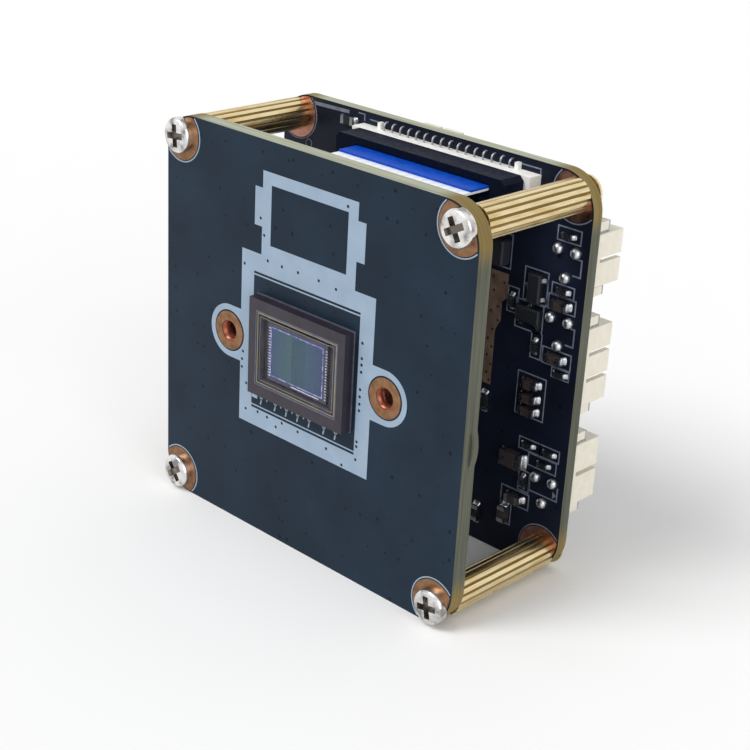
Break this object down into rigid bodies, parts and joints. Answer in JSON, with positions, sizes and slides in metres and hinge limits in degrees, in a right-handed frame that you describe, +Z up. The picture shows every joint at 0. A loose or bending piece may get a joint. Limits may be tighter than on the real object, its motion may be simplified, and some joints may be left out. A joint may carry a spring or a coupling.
{
  "type": "camera module",
  "caption": "Two-board camera module with a bare image sensor, joined by standoffs and a ribbon cable.",
  "frame": {"origin": "midway between the two lens-holder holes, on the sensor board's front face", "axes": "+X right along the lens-holder holes, +Y back through the module, +Z up; -Z is towards the edge that it stands on"},
  "size_m": [0.0382, 0.0211, 0.038],
  "materials": {
    "black_epoxy": "matte",
    "black_nylon": "matte",
    "blue_polyester": "satin",
    "brass": "satin",
    "brown_ceramic": "satin",
    "ceramic": "matte",
    "circuit_board": "satin",
    "copper": "satin",
    "cover_glass": "polished",
    "cream_nylon": "satin",
    "ferrite": "matte",
    "main_circuit_board": "satin",
    "nickel": "polished",
    "silicon": "polished",
    "tin": "satin",
    "white_nylon": "matte",
    "white_polyester": "satin"
  },
  "bodies": {
    "root": {"chip_capacitors": "brown_ceramic", "chip_end_caps": "tin", "chip_resistors": "black_epoxy", "copper_strip": "copper", "crystal": "tin", "flash_memory": "black_epoxy", "flash_memory_leads": "tin", "front_screws": "nickel", "front_socket_contacts": "tin", "front_socket_housing": "white_nylon", "front_socket_lugs": "white_nylon", "header_pins": "tin", "header_tabs": "tin", "inductor": "ferrite", "lower_header_housing": "cream_nylon", "main_board": "main_circuit_board", "main_board_pads": "copper", "middle_header_housing": "cream_nylon", "processor": "black_epoxy", "rear_socket_contacts": "tin", "rear_socket_housing": "white_nylon", "rear_socket_lugs": "white_nylon", "ribbon_cable": "white_polyester", "ribbon_stiffeners": "blue_polyester", "sensor_board": "circuit_board", "sensor_board_capacitors": "brown_ceramic", "sensor_board_end_caps": "tin", "sensor_board_pads": "copper", "sensor_die": "silicon", "sensor_glass": "cover_glass", "sensor_package": "ceramic", "soldered_posts": "tin", "standoffs": "brass", "top_header_housing": "cream_nylon", "transistor_leads": "tin", "transistors": "black_epoxy", "upper_header_housing": "cream_nylon"},
    "rear_slider": {"rear_socket_slider": "black_nylon"},
    "front_slider": {"front_socket_slider": "black_nylon"}
  },
  "joints": [
    {"name": "rear_slider_slide", "type": "slide", "parent": "root", "child": "rear_slider", "axis": [0, -1, 0], "range_m": [0, 0.0008]},
    {"name": "front_slider_slide", "type": "slide", "parent": "root", "child": "front_slider", "axis": [0, 1, 0], "range_m": [0, 0.0008]}
  ]
}
